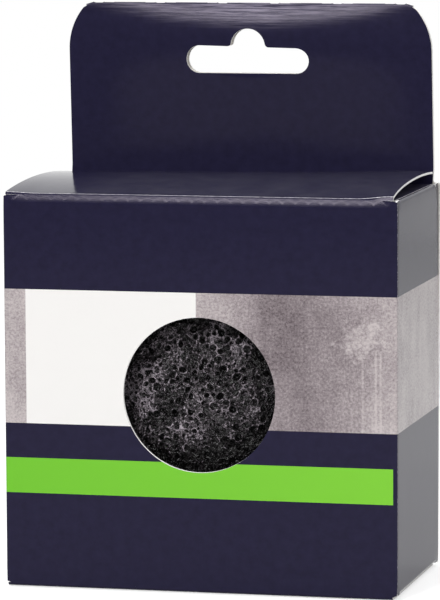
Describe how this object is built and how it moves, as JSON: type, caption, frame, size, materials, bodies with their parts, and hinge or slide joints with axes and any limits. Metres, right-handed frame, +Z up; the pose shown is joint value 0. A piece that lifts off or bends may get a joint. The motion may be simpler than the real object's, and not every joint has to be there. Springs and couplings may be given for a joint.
{
  "type": "boxed konjac sponge",
  "caption": "Charcoal konjac face sponge in a hang-tab folding carton with a round window, an arched tuck-in lid, a tuck-in bottom and dust flaps that fold on creases.",
  "frame": {"origin": "under the middle of the carton, on the surface that it stands on", "axes": "+Z up, the window faces -Y, +X to the right as seen from the front"},
  "size_m": [0.091, 0.048, 0.131],
  "materials": {
    "printed_board": "dark blue print under a satin laminate, white cut edges",
    "plain_board": "unprinted white board",
    "glue": "dried dispersion glue film",
    "konjac": "open-pored charcoal konjac fibre"
  },
  "bodies": {
    "carton": {"front_panel": "printed_board", "left_side_panel": "printed_board", "right_side_panel": "printed_board", "back_panel": "printed_board", "hang_tab_front_ply": "printed_board", "hang_tab_glue": "glue", "glue_flap": "plain_board", "seam_glue": "glue"},
    "lid": {"top_lid": "printed_board"},
    "lid_tuck": {"top_tuck_flap": "printed_board"},
    "dust_top_left": {"top_left_dust_flap": "printed_board"},
    "dust_top_right": {"top_right_dust_flap": "printed_board"},
    "bottom": {"bottom_panel": "printed_board"},
    "bottom_tuck": {"bottom_tuck_flap": "printed_board"},
    "dust_bottom_left": {"bottom_left_dust_flap": "printed_board"},
    "dust_bottom_right": {"bottom_right_dust_flap": "printed_board"},
    "sponge": {"sponge": "konjac"}
  },
  "joints": [
    {"name": "lid_crease", "type": "hinge", "parent": "carton", "child": "lid", "pos_m": [0, -0.02375, 0.08975], "axis": [1, 0, 0], "range_deg": [0, 175]},
    {"name": "lid_tuck_crease", "type": "hinge", "parent": "lid", "child": "lid_tuck", "pos_m": [0, 0.02235, 0.0913], "axis": [1, 0, 0], "range_deg": [0, 40]},
    {"name": "dust_top_left_crease", "type": "hinge", "parent": "carton", "child": "dust_top_left", "pos_m": [-0.04525, 0, 0.08935], "axis": [0, -1, 0], "range_deg": [0, 95]},
    {"name": "dust_top_right_crease", "type": "hinge", "parent": "carton", "child": "dust_top_right", "pos_m": [0.04525, 0, 0.08935], "axis": [0, 1, 0], "range_deg": [0, 95]},
    {"name": "bottom_crease", "type": "hinge", "parent": "carton", "child": "bottom", "pos_m": [0, -0.02375, 0.00025], "axis": [-1, 0, 0], "range_deg": [0, 175]},
    {"name": "bottom_tuck_crease", "type": "hinge", "parent": "bottom", "child": "bottom_tuck", "pos_m": [0, 0.02295, 0.00025], "axis": [-1, 0, 0], "range_deg": [0, 40]},
    {"name": "dust_bottom_left_crease", "type": "hinge", "parent": "carton", "child": "dust_bottom_left", "pos_m": [-0.04525, 0, 0.00125], "axis": [0, 1, 0], "range_deg": [0, 95]},
    {"name": "dust_bottom_right_crease", "type": "hinge", "parent": "carton", "child": "dust_bottom_right", "pos_m": [0.04525, 0, 0.00125], "axis": [0, -1, 0], "range_deg": [0, 95]},
    {"name": "sponge_lift", "type": "slide", "parent": "carton", "child": "sponge", "axis": [0, 0, 1], "range_m": [0, 0.008]}
  ],
  "couplings": [
    {"joint": "lid_tuck_crease", "follows": "lid_crease", "ratio": 0.2},
    {"joint": "dust_top_left_crease", "follows": "lid_crease", "ratio": 0.5},
    {"joint": "dust_top_right_crease", "follows": "lid_crease", "ratio": 0.5},
    {"joint": "bottom_tuck_crease", "follows": "bottom_crease", "ratio": 0.2},
    {"joint": "dust_bottom_left_crease", "follows": "bottom_crease", "ratio": 0.5},
    {"joint": "dust_bottom_right_crease", "follows": "bottom_crease", "ratio": 0.5}
  ]
}
